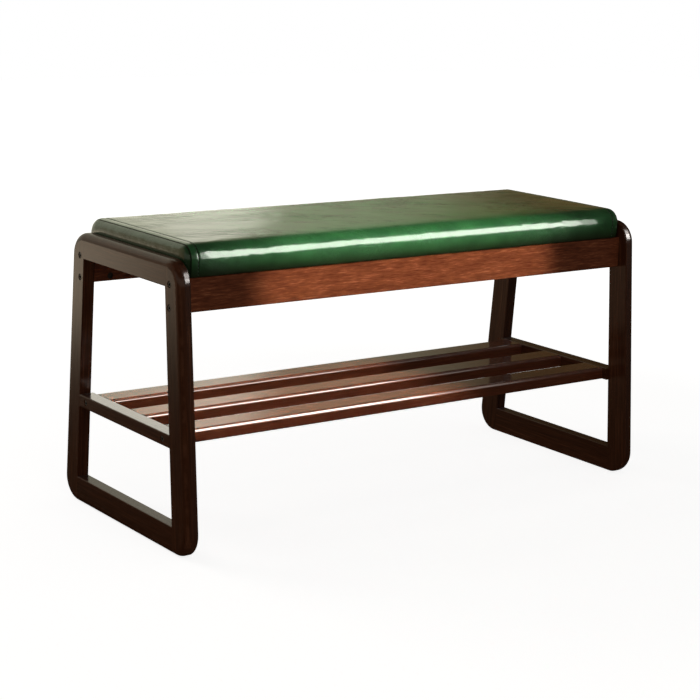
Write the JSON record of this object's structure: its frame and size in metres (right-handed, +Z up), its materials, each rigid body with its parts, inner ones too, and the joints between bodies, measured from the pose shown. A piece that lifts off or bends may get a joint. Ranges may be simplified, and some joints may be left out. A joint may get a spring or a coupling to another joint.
{
  "type": "shoe fitting bench",
  "caption": "Long fitting bench with a padded green leather seat, two closed trapezoid side frames in dark wood, aprons under the seat and a slatted shoe shelf.",
  "frame": {"origin": "on the floor, under the middle of the seat", "axes": "+X along the bench, -Y towards its front, +Z up"},
  "size_m": [0.9, 0.3888, 0.4654],
  "materials": {
    "frame_wood": "gloss",
    "apron_wood": "gloss",
    "slat_wood": "gloss",
    "dowel_wood": "matte",
    "plywood": "matte",
    "black_steel": "satin",
    "zinc_steel": "satin",
    "seat_leather": "gloss",
    "seat_foam": "matte",
    "dust_cloth": "matte"
  },
  "bodies": {
    "root": {"apron_barrel_nuts": "zinc_steel", "apron_bolts": "black_steel", "bracket_screws": "zinc_steel", "front_apron": "apron_wood", "left_foot_rail": "frame_wood", "left_frame_dowels": "dowel_wood", "left_front_leg": "frame_wood", "left_rear_leg": "frame_wood", "left_shelf_rail": "frame_wood", "left_top_rail": "frame_wood", "rear_apron": "apron_wood", "right_foot_rail": "frame_wood", "right_frame_dowels": "dowel_wood", "right_front_leg": "frame_wood", "right_rear_leg": "frame_wood", "right_shelf_rail": "frame_wood", "right_top_rail": "frame_wood", "seat_board": "plywood", "seat_brackets": "zinc_steel", "seat_cover_left_end": "seat_leather", "seat_cover_panel": "seat_leather", "seat_cover_right_end": "seat_leather", "seat_dust_cloth": "dust_cloth", "seat_foam": "seat_foam", "seat_staples": "zinc_steel", "shelf_screws": "black_steel", "shelf_slat_front": "slat_wood", "shelf_slat_middle": "slat_wood", "shelf_slat_rear": "slat_wood", "slat_dowels": "dowel_wood"}
  },
  "joints": []
}
